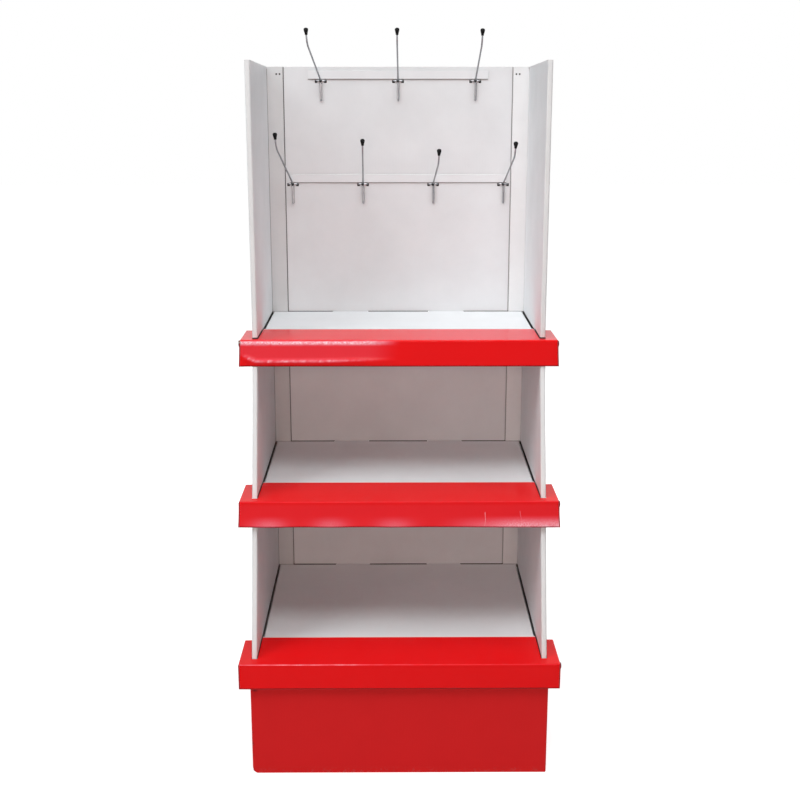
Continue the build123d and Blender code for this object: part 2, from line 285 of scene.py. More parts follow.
def board_cut_edge():
    """Cut edge of the corrugated board: two pale liners with the fluted paper and its shadows between."""
    made, tree = new_material("board_cut_edge")
    blank = node(tree, "ShaderNodeAttribute", attribute_name="blank").outputs["Vector"]
    parts = node(tree, "ShaderNodeSeparateXYZ", {"Vector": blank}).outputs
    turn = node(tree, "ShaderNodeMath", {0: parts["X"], 1: 2 * pi / (flute_pitch * MM)}, operation="MULTIPLY")
    swing = node(tree, "ShaderNodeMath", {0: turn.outputs[0]}, operation="SINE")
    flute = node(tree, "ShaderNodeMath", {
        0: swing.outputs[0], 1: 0.33 * board * MM, 2: board / 2 * MM}, operation="MULTIPLY_ADD")
    off_flute = node(tree, "ShaderNodeMath", {0: parts["Z"], 1: flute.outputs[0]}, operation="SUBTRACT")
    off_flute = node(tree, "ShaderNodeMath", {0: off_flute.outputs[0]}, operation="ABSOLUTE")
    off_middle = node(tree, "ShaderNodeMath", {0: parts["Z"], 1: board / 2 * MM}, operation="SUBTRACT")
    off_middle = node(tree, "ShaderNodeMath", {0: off_middle.outputs[0]}, operation="ABSOLUTE")
    in_hollow = node(tree, "ShaderNodeMapRange", {
        "Value": off_flute.outputs[0], "From Min": 0.25 * MM, "From Max": 0.45 * MM})
    in_core = node(tree, "ShaderNodeMapRange", {
        "Value": off_middle.outputs[0], "From Min": 1.2 * MM, "From Max": 1.0 * MM})
    dark = node(tree, "ShaderNodeMath", {
        0: in_hollow.outputs["Result"], 1: in_core.outputs["Result"]}, operation="MULTIPLY")
    paper = node(tree, "ShaderNodeMix", {
        0: dark.outputs[0], MIX_LOW: colour("#D9D6D4"), MIX_HIGH: colour("#77706C")}, data_type="RGBA")
    relief = node(tree, "ShaderNodeBump", {
        "Height": dark.outputs[0], "Strength": 0.8, "Distance": 0.8 * MM}, invert=True)
    shader = node(tree, "ShaderNodeBsdfPrincipled", {
        "Base Color": paper.outputs[MIX_RESULT], "Roughness": 0.85, "IOR": 1.5, "Specular IOR Level": 0.2,
        "Normal": relief.outputs["Normal"]})
    node(tree, "ShaderNodeOutputMaterial", {"Surface": shader.outputs["BSDF"]})
    return made


def kraft_liner():
    """Unbleached kraft liner inside the plinth: brown and dull, with fibres drawn coarse to show."""
    made, tree = new_material("kraft_liner")
    place = node(tree, "ShaderNodeTexCoord").outputs["Object"]
    fibre = node(tree, "ShaderNodeTexNoise", {
        "Vector": place, "Scale": per_size(4), "Detail": 6, "Roughness": 0.75})
    paper = node(tree, "ShaderNodeMix", {
        0: fibre.outputs["Fac"], MIX_LOW: colour("#A98660"), MIX_HIGH: colour("#C2A27C")}, data_type="RGBA")
    grain = node(tree, "ShaderNodeBump", {
        "Height": fibre.outputs["Fac"], "Strength": 0.4, "Distance": 0.08 * MM})
    shader = node(tree, "ShaderNodeBsdfPrincipled", {
        "Base Color": paper.outputs[MIX_RESULT], "Roughness": 0.85, "IOR": 1.5, "Specular IOR Level": 0.2,
        "Normal": grain.outputs["Normal"]})
    node(tree, "ShaderNodeOutputMaterial", {"Surface": shader.outputs["BSDF"]})
    return made


def red_printed_board():
    """Red printed liner of the plinth: matte ink, slightly uneven over the flutes, rubbed along the floor."""
    made, tree = new_material("red_printed_board")
    place = node(tree, "ShaderNodeTexCoord").outputs["Object"]
    blank = node(tree, "ShaderNodeAttribute", attribute_name="blank").outputs["Vector"]
    height = node(tree, "ShaderNodeSeparateXYZ", {"Vector": place}).outputs["Z"]
    cloud = node(tree, "ShaderNodeTexNoise", {
        "Vector": place, "Scale": per_size(70), "Detail": 5, "Roughness": 0.6})
    rub = node(tree, "ShaderNodeTexNoise", {
        "Vector": place, "Scale": per_size(7), "Detail": 6, "Roughness": 0.7})
    ribs = node(tree, "ShaderNodeTexWave", {
        "Vector": blank, "Scale": per_band(flute_pitch), "Distortion": 0.4})
    ink = node(tree, "ShaderNodeMix", {
        0: cloud.outputs["Fac"], MIX_LOW: colour("#CF181B"), MIX_HIGH: colour("#D61C1F")}, data_type="RGBA")
    band = node(tree, "ShaderNodeMath", {0: ribs.outputs["Fac"], 1: 0.05}, operation="MULTIPLY")
    ribbed = node(tree, "ShaderNodeMix", {
        0: band.outputs[0], MIX_LOW: ink.outputs[MIX_RESULT], MIX_HIGH: colour("#C21518")}, data_type="RGBA")
    low = node(tree, "ShaderNodeMapRange", {"Value": height, "From Min": 14 * MM, "From Max": 0.0})
    worn = node(tree, "ShaderNodeMapRange", {"Value": rub.outputs["Fac"], "From Min": 0.52, "From Max": 0.7})
    scuff = node(tree, "ShaderNodeMath", {
        0: low.outputs["Result"], 1: worn.outputs["Result"]}, operation="MULTIPLY")
    face = node(tree, "ShaderNodeMix", {
        0: scuff.outputs[0], MIX_LOW: ribbed.outputs[MIX_RESULT], MIX_HIGH: colour("#B7524F")},
        data_type="RGBA")
    # The crease attribute darkens the print: a painted shadow under the cap's left end and dark specks by the
    # left edge
    shade_and_specks = node(tree, "ShaderNodeAttribute", attribute_name="crease").outputs["Fac"]
    shaded_and_specked = node(tree, "ShaderNodeMix", {
        0: shade_and_specks, MIX_LOW: face.outputs[MIX_RESULT], MIX_HIGH: colour("#3A0A0D")}, data_type="RGBA")
    dull = node(tree, "ShaderNodeMapRange", {"Value": cloud.outputs["Fac"], "To Min": 0.46, "To Max": 0.6})
    washboard = node(tree, "ShaderNodeBump", {
        "Height": ribs.outputs["Fac"], "Strength": 0.2, "Distance": 0.06 * MM})
    shader = node(tree, "ShaderNodeBsdfPrincipled", {
        "Base Color": shaded_and_specked.outputs[MIX_RESULT], "Roughness": dull.outputs["Result"], "IOR": 1.5,
        "Specular IOR Level": 0.16, "Normal": washboard.outputs["Normal"]})
    node(tree, "ShaderNodeOutputMaterial", {"Surface": shader.outputs["BSDF"]})
    return made


def red_film_card():
    """Red printed card under glossy film, with painted highlights and shade, an uneven shine and a pale cut
    margin.
    """
    made, tree = new_material("red_film_card")
    place = node(tree, "ShaderNodeTexCoord").outputs["Object"]
    blank = node(tree, "ShaderNodeAttribute", attribute_name="blank").outputs["Vector"]
    crease = node(tree, "ShaderNodeAttribute", attribute_name="crease").outputs["Fac"]
    from_rear = node(tree, "ShaderNodeSeparateXYZ", {"Vector": blank}).outputs["Y"]
    cloud = node(tree, "ShaderNodeTexNoise", {
        "Vector": place, "Scale": per_size(60), "Detail": 4, "Roughness": 0.55})
    peel = node(tree, "ShaderNodeTexNoise", {
        "Vector": place, "Scale": per_size(5), "Detail": 2, "Roughness": 0.5})
    flake = node(tree, "ShaderNodeTexNoise", {
        "Vector": place, "Scale": per_size(2.6), "Detail": 3, "Roughness": 0.7})
    ink = node(tree, "ShaderNodeMix", {
        0: cloud.outputs["Fac"], MIX_LOW: colour("#E80F13"), MIX_HIGH: colour("#ED1418")}, data_type="RGBA")
    margin = node(tree, "ShaderNodeMapRange", {
        "Value": from_rear, "From Min": 4.6 * MM, "From Max": 3.8 * MM})
    trimmed = node(tree, "ShaderNodeMix", {
        0: margin.outputs["Result"], MIX_LOW: ink.outputs[MIX_RESULT], MIX_HIGH: colour("#F8E6E7")},
        data_type="RGBA")
    # Painted highlights where the crease attribute marks the film, broken up by fine noise, near white where
    # strong
    broken = node(tree, "ShaderNodeMapRange", {
        "Value": flake.outputs["Fac"], "From Min": 0.34, "From Max": 0.6, "To Min": 0.25, "To Max": 1.15})
    highlight_breakup = node(tree, "ShaderNodeMath", {0: broken.outputs["Result"], 1: 1.0}, operation="SUBTRACT")
    highlight_breakup = node(tree, "ShaderNodeMath", {0: highlight_breakup.outputs[0], 1: crease, 2: 1.0}, operation="MULTIPLY_ADD")
    painted_highlight = node(tree, "ShaderNodeMath", {0: crease, 1: highlight_breakup.outputs[0]}, operation="MULTIPLY", use_clamp=True)
    highlight_tint = node(tree, "ShaderNodeMix", {
        0: painted_highlight.outputs[0], MIX_LOW: colour("#EE9ABC"), MIX_HIGH: colour("#FDE0E6")}, data_type="RGBA")
    highlighted = node(tree, "ShaderNodeMix", {
        0: painted_highlight.outputs[0], MIX_LOW: trimmed.outputs[MIX_RESULT], MIX_HIGH: highlight_tint.outputs[MIX_RESULT]},
        data_type="RGBA")
    # Painted shade: a dark red line along the lip's foot
    lip_foot = (tongue_length + cap_depth + lip_height) * MM
    foot_shade = node(tree, "ShaderNodeMapRange", {
        "Value": from_rear, "From Min": lip_foot - 3.0 * MM, "From Max": lip_foot - 2.0 * MM, "To Max": 0.75})
    foot_shaded = node(tree, "ShaderNodeMix", {
        0: foot_shade.outputs["Result"], MIX_LOW: highlighted.outputs[MIX_RESULT], MIX_HIGH: colour("#7C0C14")},
        data_type="RGBA")
    shine = node(tree, "ShaderNodeMapRange", {"Value": cloud.outputs["Fac"], "To Min": 0.09, "To Max": 0.16})
    skin = node(tree, "ShaderNodeBump", {
        "Height": peel.outputs["Fac"], "Strength": 0.25, "Distance": 0.12 * MM})
    shader = node(tree, "ShaderNodeBsdfPrincipled", {
        "Base Color": foot_shaded.outputs[MIX_RESULT], "Roughness": shine.outputs["Result"], "IOR": 1.5,
        "Specular IOR Level": 0.07, "Normal": skin.outputs["Normal"]})
    node(tree, "ShaderNodeOutputMaterial", {"Surface": shader.outputs["BSDF"]})
    return made


def grey_card_back():
    """Uncoated grey back of the card: recycled fibre, dull, with flecks drawn coarse to show."""
    made, tree = new_material("grey_card_back")
    place = node(tree, "ShaderNodeTexCoord").outputs["Object"]
    fibre = node(tree, "ShaderNodeTexNoise", {
        "Vector": place, "Scale": per_size(3), "Detail": 5, "Roughness": 0.8})
    paper = node(tree, "ShaderNodeMix", {
        0: fibre.outputs["Fac"], MIX_LOW: colour("#B4B0AC"), MIX_HIGH: colour("#CFCCC8")}, data_type="RGBA")
    grain = node(tree, "ShaderNodeBump", {
        "Height": fibre.outputs["Fac"], "Strength": 0.3, "Distance": 0.06 * MM})
    shader = node(tree, "ShaderNodeBsdfPrincipled", {
        "Base Color": paper.outputs[MIX_RESULT], "Roughness": 0.85, "IOR": 1.5, "Specular IOR Level": 0.2,
        "Normal": grain.outputs["Normal"]})
    node(tree, "ShaderNodeOutputMaterial", {"Surface": shader.outputs["BSDF"]})
    return made


def card_cut_edge():
    """Cut edge of the film-faced card: a fibrous core stained red by the ink, deepest next to the print."""
    made, tree = new_material("card_cut_edge")
    blank = node(tree, "ShaderNodeAttribute", attribute_name="blank").outputs["Vector"]
    place = node(tree, "ShaderNodeTexCoord").outputs["Object"]
    depth = node(tree, "ShaderNodeSeparateXYZ", {"Vector": blank}).outputs["Z"]
    ply = node(tree, "ShaderNodeTexNoise", {
        "Vector": place, "Scale": per_size(2), "Detail": 3, "Roughness": 0.7})
    near_print = node(tree, "ShaderNodeMapRange", {"Value": depth, "From Min": 0.9 * MM, "From Max": 0.0})
    core = node(tree, "ShaderNodeMix", {
        0: ply.outputs["Fac"], MIX_LOW: colour("#93232A"), MIX_HIGH: colour("#A8343A")}, data_type="RGBA")
    edge = node(tree, "ShaderNodeMix", {
        0: near_print.outputs["Result"], MIX_LOW: core.outputs[MIX_RESULT], MIX_HIGH: colour("#B4181C")},
        data_type="RGBA")
    shader = node(tree, "ShaderNodeBsdfPrincipled", {
        "Base Color": edge.outputs[MIX_RESULT], "Roughness": 0.8, "IOR": 1.5, "Specular IOR Level": 0.2})
    node(tree, "ShaderNodeOutputMaterial", {"Surface": shader.outputs["BSDF"]})
    return made


def zinc_plated_steel():
    """Bright zinc on drawn steel wire: a soft metallic shine with duller blotches."""
    made, tree = new_material("zinc_plated_steel")
    place = node(tree, "ShaderNodeTexCoord").outputs["Object"]
    blotch = node(tree, "ShaderNodeTexNoise", {
        "Vector": place, "Scale": per_size(9), "Detail": 5, "Roughness": 0.65})
    metal = node(tree, "ShaderNodeMix", {
        0: blotch.outputs["Fac"], MIX_LOW: colour("#808286"), MIX_HIGH: colour("#B0B2B6")}, data_type="RGBA")
    dull = node(tree, "ShaderNodeMapRange", {"Value": blotch.outputs["Fac"], "To Min": 0.2, "To Max": 0.42})
    shader = node(tree, "ShaderNodeBsdfPrincipled", {
        "Base Color": metal.outputs[MIX_RESULT], "Metallic": 1.0, "Roughness": dull.outputs["Result"]})
    node(tree, "ShaderNodeOutputMaterial", {"Surface": shader.outputs["BSDF"]})
    return made


def shaded_weld_zinc():
    """Dark grey painted shade round a spot weld, where the wire crosses the crossbar: uneven and nearly dull.
    """
    made, tree = new_material("shaded_weld_zinc")
    place = node(tree, "ShaderNodeTexCoord").outputs["Object"]
    weld_shade_noise = node(tree, "ShaderNodeTexNoise", {
        "Vector": place, "Scale": per_size(2), "Detail": 4, "Roughness": 0.65})
    weld_shade_colour = node(tree, "ShaderNodeMix", {
        0: weld_shade_noise.outputs["Fac"], MIX_LOW: colour("#1C1C1E"), MIX_HIGH: colour("#4A4A4D")}, data_type="RGBA")
    dull = node(tree, "ShaderNodeMapRange", {"Value": weld_shade_noise.outputs["Fac"], "To Min": 0.5, "To Max": 0.75})
    shader = node(tree, "ShaderNodeBsdfPrincipled", {
        "Base Color": weld_shade_colour.outputs[MIX_RESULT], "Metallic": 1.0, "Roughness": dull.outputs["Result"]})
    node(tree, "ShaderNodeOutputMaterial", {"Surface": shader.outputs["BSDF"]})
    return made


def black_polyethylene():
    """Moulded black polyethylene: a waxy half-gloss with an uneven skin, drawn coarse to show."""
    made, tree = new_material("black_polyethylene")
    place = node(tree, "ShaderNodeTexCoord").outputs["Object"]
    skin = node(tree, "ShaderNodeTexNoise", {
        "Vector": place, "Scale": per_size(1.5), "Detail": 3, "Roughness": 0.6})
    body = node(tree, "ShaderNodeMix", {
        0: skin.outputs["Fac"], MIX_LOW: colour("#080809"), MIX_HIGH: colour("#121213")}, data_type="RGBA")
    dull = node(tree, "ShaderNodeMapRange", {"Value": skin.outputs["Fac"], "To Min": 0.55, "To Max": 0.7})
    uneven = node(tree, "ShaderNodeBump", {
        "Height": skin.outputs["Fac"], "Strength": 0.2, "Distance": 0.06 * MM})
    shader = node(tree, "ShaderNodeBsdfPrincipled", {
        "Base Color": body.outputs[MIX_RESULT], "Roughness": dull.outputs["Result"], "IOR": 1.51,
        "Specular IOR Level": 0.14, "Normal": uneven.outputs["Normal"]})
    node(tree, "ShaderNodeOutputMaterial", {"Surface": shader.outputs["BSDF"]})
    return made


def seen_directly(tree):
    """A share that is 1 to the eye, in reflections and through glass, and 0 for light on other surfaces."""
    ray = node(tree, "ShaderNodeLightPath").outputs
    seen = node(tree, "ShaderNodeMath", {
        0: ray["Is Camera Ray"], 1: ray["Is Glossy Ray"]}, operation="ADD")
    seen = node(tree, "ShaderNodeMath", {
        0: seen.outputs[0], 1: ray["Is Transmission Ray"]}, operation="ADD", use_clamp=True)
    return seen.outputs[0]


def pale_floor():
    """Plain pale studio floor: it takes the stand's shadow, and looks white to the eye and in reflections."""
    made, tree = new_material("pale_floor")
    place = node(tree, "ShaderNodeTexCoord").outputs["Object"]
    away = node(tree, "ShaderNodeVectorMath", {0: place}, operation="LENGTH").outputs["Value"]
    white = node(tree, "ShaderNodeMapRange", {
        "Value": away, "From Min": 0.5, "From Max": 4.0, "To Min": 0.72, "To Max": 1.0},
        interpolation_type="SMOOTHSTEP")
    glow = node(tree, "ShaderNodeMath", {
        0: seen_directly(tree), 1: white.outputs["Result"]}, operation="MULTIPLY")
    paint = node(tree, "ShaderNodeBsdfDiffuse", {"Color": colour("#C4C4C4")})
    light = node(tree, "ShaderNodeEmission", {"Strength": glow.outputs[0]})
    both = node(tree, "ShaderNodeAddShader", {0: paint.outputs["BSDF"], 1: light.outputs["Emission"]})
    node(tree, "ShaderNodeOutputMaterial", {"Surface": both.outputs["Shader"]})
    return made


# Painted light: one white board, painted lighter on the shelves and the rails and darker on the back
side_board = white_lined_board("white_lined_board_sides", "#E4E6E8", "#DFE1E3")
shaded_back_board = white_lined_board("white_lined_board_back", "#DADCDF", "#D5D7DA")
lit_rail_board = white_lined_board("white_lined_board_rails", "#DEE0E3", "#D9DBDE")
lit_shelf_board = white_lined_board("white_lined_board_shelves", "#EDEEF0", "#E9EAEC")
board_edge = board_cut_edge()
kraft = kraft_liner()
red_print = red_printed_board()
red_film = red_film_card()
card_back = grey_card_back()
card_edge = card_cut_edge()
zinc = zinc_plated_steel()
weld_shade = shaded_weld_zinc()
black_plastic = black_polyethylene()
# What each sheet shows on its face, on its back and along its cut edges
side_skins = (side_board, side_board, board_edge)
back_skins = (shaded_back_board, shaded_back_board, board_edge)
rail_skins = (lit_rail_board, lit_rail_board, board_edge)
shelf_skins = (lit_shelf_board, lit_shelf_board, board_edge)
plinth_skins = (red_print, kraft, board_edge)
cap_skins = (red_film, card_back, card_edge)


# Making pieces

def finish_piece(name, mesh, materials, replaced, sharp=38):
    """Turns a mesh into a piece that stands for CAD nodes and rides with the stand."""
    data = bpy.data.meshes.new(name)
    mesh.to_mesh(data)
    mesh.free()
    for material in materials:
        data.materials.append(material)
    data.shade_smooth()
    data.set_sharp_from_angle(angle=radians(sharp))
    piece = bpy.data.objects.new(name, data)
    bpy.context.scene.collection.objects.link(piece)
    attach(piece, "root")
    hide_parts(replaced)
    return piece


def grid_lines(start, end, step, *marks):
    """Lines from start to end about a step apart, with one on every mark between them."""
    stops = sorted({start, end, *[mark for mark in marks if start < mark < end]})
    made = []
    for low, high in zip(stops, stops[1:]):
        count = max(1, round((high - low) / step))
        made += [low + (high - low) * place / count for place in range(count)]
    return made + [end]


def fold_lines(fold, bend):
    """Marks that give a fold of this bend radius four even facets and a firm edge on each side."""
    eighth = bend * (1 - (sqrt(2) - 1))
    return [fold + side * reach for side in (-1, 1) for reach in (bend + fold_margin, bend, eighth)] + [fold]


def soften(first, second, bend):
    """Rounds a square fold: the two values are a point's distances behind the fold's two faces."""
    if first >= bend or second >= bend:
        return first, second
    share = bend / hypot(bend - first, bend - second)
    return bend - (bend - first) * share, bend - (bend - second) * share


def ease(value, low, high):
    """Smooth step from 0 at low to 1 at high."""
    share = min(max((value - low) / (high - low), 0.0), 1.0)
    return share * share * (3 - 2 * share)


def bell(value, middle, width):
    """Smooth bump of height 1 about a middle."""
    return exp(-((value - middle) / width) ** 2)


def uneven(x, drop, wide, high, layer):
    """Smooth unevenness of a card between -1 and 1, in patches about this wide and high."""
    return noise.noise(Vector((x / wide, drop / high, layer)))


def thicken(mesh, blank, thickness, outer_faces, flat_back):
    """Gives a folded sheet its back and cut edges, and keeps the depth below its face in the blank layer.

    A sheet with a flat back has all of it in the upright plane at that y."""
    mesh.normal_update()
    rims = [edge.link_loops[0] for edge in mesh.edges if edge.is_boundary]
    below = {}
    for vert in list(mesh.verts):
        reach = min(vert.calc_shell_factor(), corner_reach) * thickness * MM
        back = mesh.verts.new(vert.co - vert.normal * reach)
        if flat_back is not None:
            back.co = (vert.co.x, flat_back * MM, vert.co.z)
        back[blank] = (vert[blank].x, vert[blank].y, thickness * MM)
        below[vert] = back
    for loop in rims:
        here, there = loop.vert, loop.link_loop_next.vert
        mesh.faces.new((there, here, below[here], below[there])).material_index = 2
    for face in outer_faces:
        back_face = mesh.faces.new([below[vert] for vert in reversed(face.verts)])
        back_face.material_index = 1


def fold_sheet(columns, rows, place, kept=None, punched=None, thickness=board, turned=False, painted_light_and_marks=None,
               flat_back=None):
    """A sheet as a grid of columns and rows: place gives a crossing's point and its spot on the flat blank.

    Cells that kept refuses are cut away, punched gives the radius of a round hole in a cell, and
    painted_light_and_marks gives how strongly a crossing is marked: painted shade on board, painted
    highlights on film card, and a few real specks and scratches. turned says that the sheet's face is on the
    other side of the grid, and flat_back is the y of a flat sheet's back."""
    mesh = bmesh.new()
    blank = mesh.verts.layers.float_vector.new("blank")
    crease = mesh.verts.layers.float.new("crease")
    crossings = {}

    def crossing(column, row):
        if (column, row) not in crossings:
            point, spot = place(columns[column], rows[row])
            vert = mesh.verts.new(Vector(point) * MM)
            vert[blank] = (spot[0] * MM, spot[1] * MM, 0)
            if painted_light_and_marks:
                vert[crease] = painted_light_and_marks(columns[column], rows[row])
            crossings[column, row] = vert
        return crossings[column, row]

    def cell_face(verts):
        return mesh.faces.new(verts if not turned else list(reversed(verts)))

    faces = []
    for column in range(len(columns) - 1):
        for row in range(len(rows) - 1):
            middle = ((columns[column] + columns[column + 1]) / 2, (rows[row] + rows[row + 1]) / 2)
            if kept and not kept(*middle):
                continue
            spots = ((column, row), (column + 1, row), (column + 1, row + 1), (column, row + 1))
            corners = [crossing(*spot) for spot in spots]
            radius = punched(*middle) if punched else None
            if not radius:
                faces.append(cell_face(corners))
                continue
            centre = sum((vert.co for vert in corners), Vector()) / 4
            right = (corners[1].co - corners[0].co).normalized() * radius * MM
            up = (corners[3].co - corners[0].co).normalized() * radius * MM
            ring = []
            for eighth in range(8):
                turn = radians(225 + 45 * eighth)
                vert = mesh.verts.new(centre + right * cos(turn) + up * sin(turn))
                vert[blank] = corners[0][blank]
                # a hole's rim takes the full mark: painted shade round it on white board, a painted highlight
                # on the film card
                vert[crease] = 1.0
                ring.append(vert)
            for side in range(4):
                ahead = (side + 1) % 4
                near = [ring[(2 * side + step) % 8] for step in (2, 1, 0)]
                faces.append(cell_face([corners[side], corners[ahead], *near]))
    thicken(mesh, blank, thickness, faces, flat_back)
    return mesh


def bent_path(corners, bends, shares):
    """Points of a path in plan: each run at its shares, each inner corner as a round bend of five points."""
    corners = [Vector(corner) for corner in corners]
    ends = []
    for before, corner, after, bend in zip(corners, corners[1:], corners[2:], bends):
        into, out = (before - corner).normalized(), (after - corner).normalized()
        reach = bend / (into - out).length * (into + out).length
        ends.append((corner + into * reach, corner, corner + out * reach))
    path = []
    starts = [corners[0]] + [end[2] for end in ends]
    stops = [end[0] for end in ends] + [corners[-1]]
    for number, (start, stop) in enumerate(zip(starts, stops)):
        path += [start.lerp(stop, share) for share in shares[number]]
        if number < len(ends):
            first, corner, last = ends[number]
            bend = bends[number]
            inward = ((first + last) / 2 - corner).normalized()
            centre = corner + inward * sqrt(bend ** 2 + (first - corner).length ** 2)
            for share in bend_shares:
                path.append(centre + (first.lerp(last, share) - centre).normalized() * bend)
    return path


def firm_shares(count, length):
    """Even shares of a run with one more close to each end, so that flat board shades flat to its bends."""
    close = bend_margin / length
    return [0, close, *[step / count for step in range(1, count)], 1 - close, 1]


def run_lengths(path):
    """Length of a path up to each of its points."""
    run = [0.0]
    for before, after in zip(path, path[1:]):
        run.append(run[-1] + (after - before).length)
    return run


# White board

def side_front(height):
    """Front edge of the sides at a height."""
    share = min(max((height - levels[0]) / (levels[-1] - levels[0]), 0), 1)
    return side_foot + (side_head - side_foot) * share


# Painted shade along the scored fold of the left and right flange, darker on the left, and over each flange,
# and how much the spine is darkened
fold_shades = {-1: 0.66, 1: 0.2}
flange_shade = {-1: 0.22, 1: 0.03}
spine_darkening = 0.05
# How dark the painted shade is: in the gaps below the shelves, round the prongs and on the trays' side walls,
# there on the flange, in the sunk joint beside each flange, and below the rails and along their lower edges
gap_shade, flange_gap_shade = 1.0, 0.6
joint_shades = {-1: 0.85, 1: 0.5}
rail_shadow, rail_edge_shade = 0.55, 0.7
# The painted shade at a side's foot on each level: from below the shelf to just under its top, or to above
# the cap
gap_low, gap_high, foot_line = -9.0, -1.2, 2.6


def cap_rear(height):
    """How far back the cap nearest to a height reaches."""
    step = min(range(len(levels)), key=lambda number: abs(levels[number] - height))
    return cap_fronts[step] + cap_depth + tongue_length


def dress_side(name, side):
    """One side: a sheet folded round a rounded spine, its inner skin running back to a flange."""
    flange = inner_half_rear - flange_edge
    hole_edges = [place + reach for place in punch_places for reach in (-punch_cell, punch_cell)]
    flange_shares = sorted((inner_half_rear - edge) / flange for edge in hole_edges)
    shares = (firm_shares(10, 400), firm_shares(2, 5), firm_shares(12, 400), [0, 0.03, *flange_shares, 1])
    paths, lengths = {}, {}

    def path(height):
        if height not in paths:
            front = side_front(height)
            corners = (
                (body_half, back_rear), (body_half, front), (inner_half_front, front),
                (inner_half_rear, flange_front), (flange_edge, flange_front))
            paths[height] = bent_path(corners, (spine_bend, spine_bend, flange_bend), shares)
            run = run_lengths(paths[height])
            lengths[height] = [run[-1] - length for length in run]
        return paths[height]

    def place(column, height):
        point = path(height)[column]
        return (side * point.x, point.y, height), (lengths[height][column], height)

    count = len(path(0))
    outer_columns, spine_columns = len(shares[0]), len(shares[1]) + 2 * len(bend_shares)
    top_row = stand_height - fold_notch
    fold_column = count - len(shares[-1])

    def kept(column, height):
        # the flange's fold is notched at the top
        return not (fold_column - 3 < column < fold_column + 1 and height > top_row)

    def punched(column, height):
        # the cells between the holes' edges, counted from the flange's free edge
        in_hole = column - count + 1 in (-3.5, -1.5) and abs(height - punch_height) < 1
        return punch_radius if in_hole else None

    def painted_light_and_marks(column, height):
        y = path(height)[column].y
        reach = foot_line if y < cap_rear(height) else gap_high
        in_gap = any(gap_low - same_place < height - level < reach + same_place for level in levels)
        on_spine = outer_columns <= column < outer_columns + spine_columns
        # painted shade where a shelf or a cap meets the side
        if in_gap and column >= outer_columns and (not on_spine or height > levels[-1] + gap_low - 1):
            return gap_shade if column < fold_column else flange_gap_shade
        # painted shade along the flange's fold and over the flange, and a slight darkening of the spine
        if fold_column - 4 < column < fold_column:
            return fold_shades[side]
        if column >= fold_column:
            return flange_shade[side]
        return spine_darkening if on_spine else 0

    shade_edges = (
        gap_low - shade_end, gap_low, gap_high, gap_high + shade_end, foot_line, foot_line + shade_end)
    feet = [level + edge for level in levels for edge in shade_edges]
    punch_rows = (punch_height - punch_cell, punch_height + punch_cell)
    rows = grid_lines(0, stand_height, side_cell, top_row, *punch_rows, *feet)
    mesh = fold_sheet(range(count), rows, place, kept, punched, turned=side > 0, painted_light_and_marks=painted_light_and_marks)
    finish_piece(f"{name}_sheet", mesh, side_skins, name)


def dress_back():
    """Back panel: a flat sheet slotted for shelf tabs and hooks, with painted shade in a sunk joint at each
    flange.
    """
    half = body_half - board - slot_play
    joint = [flange_edge - step for step in joint_steps]
    slot_z = [(level - cap_card - board - slot_play, level - cap_card + slot_play) for level in levels]
    slot_half = rear_tab_half + slot_play
    slot_x = [(middle - slot_half, middle + slot_half) for middle in (-rear_tab_place, rear_tab_place)]
    prongs = [(x + side * prong_half, z) for _, x, z, _, _ in hooks for side in (-1, 1)]
    # and sunk marks behind the flange's punched holes, painted dark as shade to show through them
    prongs += [(side * x, punch_height + punch_mark_rise) for x in punch_places for side in (-1, 1)]
    x_marks = [edge * side for edge in joint for side in (-1, 1)] + [edge for pair in slot_x for edge in pair]
    x_marks += [x + reach for x, _ in prongs for reach in slot_sides]
    z_marks = [edge for pair in slot_z for edge in pair]
    z_marks += [z + reach for _, z in prongs for reach in slot_ends]
    under_rails = [(rail_half, top - rail_height) for rail_half, top in rails.values()]
    shade_marks = (rail_shade[0] - shade_end, *rail_shade, rail_shade[1] + shade_end)
    z_marks += [low - mark for _, low in under_rails for mark in shade_marks]
    rail_ends = [end for rail_half, _ in under_rails for end in (rail_half, rail_half + shade_end)]
    x_marks += [side * end for end in rail_ends for side in (-1, 1)]
    gaps = [(level + gap_low, level + gap_high) for level in levels]
    z_marks += [edge for low, high in gaps for edge in (low - shade_end, low, high, high + shade_end)]
    x_marks += [edge + reach for pair in slot_x for edge in pair for reach in (-shade_end, shade_end)]

    def in_gap(x, z):
        beside_tabs = not any(low - same_place < x < high + same_place for low, high in slot_x)
        return beside_tabs and any(low - same_place < z < high + same_place for low, high in gaps)

    def in_prong(x, z):
        reach = slot_sides[-2] + same_place
        low, high = slot_ends[1] - same_place, slot_ends[2] + same_place
        return any(abs(x - at_x) < reach and low < z - at_z < high for at_x, at_z in prongs)

    def sunk(x, z):
        return joint[1] - same_place <= abs(x) <= joint[2] + same_place or in_prong(x, z)

    def place(x, z):
        return (x, back_front + (sunk_depth if sunk(x, z) else 0), z), (x, z)

    def kept(x, z):
        in_slot_row = any(low < z < high for low, high in slot_z)
        return not (in_slot_row and any(low < x < high for low, high in slot_x))

    # painted shade in the shelves' gaps, round the prongs, in the joints and below the rails
    def painted_light_and_marks(x, z):
        if in_gap(x, z) or in_prong(x, z):
            return gap_shade
        if sunk(x, z):
            return joint_shades[-1 if x < 0 else 1]
        near, far = rail_shade[0] - same_place, rail_shade[1] + same_place
        shaded = [abs(x) < rail_half + same_place and near < low - z < far for rail_half, low in under_rails]
        return rail_shadow if any(shaded) else 0

    columns = grid_lines(-half, half, back_cell, *x_marks)
    rows = grid_lines(0, stand_height, back_cell, *z_marks)
    mesh = fold_sheet(columns, rows, place, kept, painted_light_and_marks=painted_light_and_marks, flat_back=back_rear)
    finish_piece("back_panel_sheet", mesh, back_skins, "back_panel")


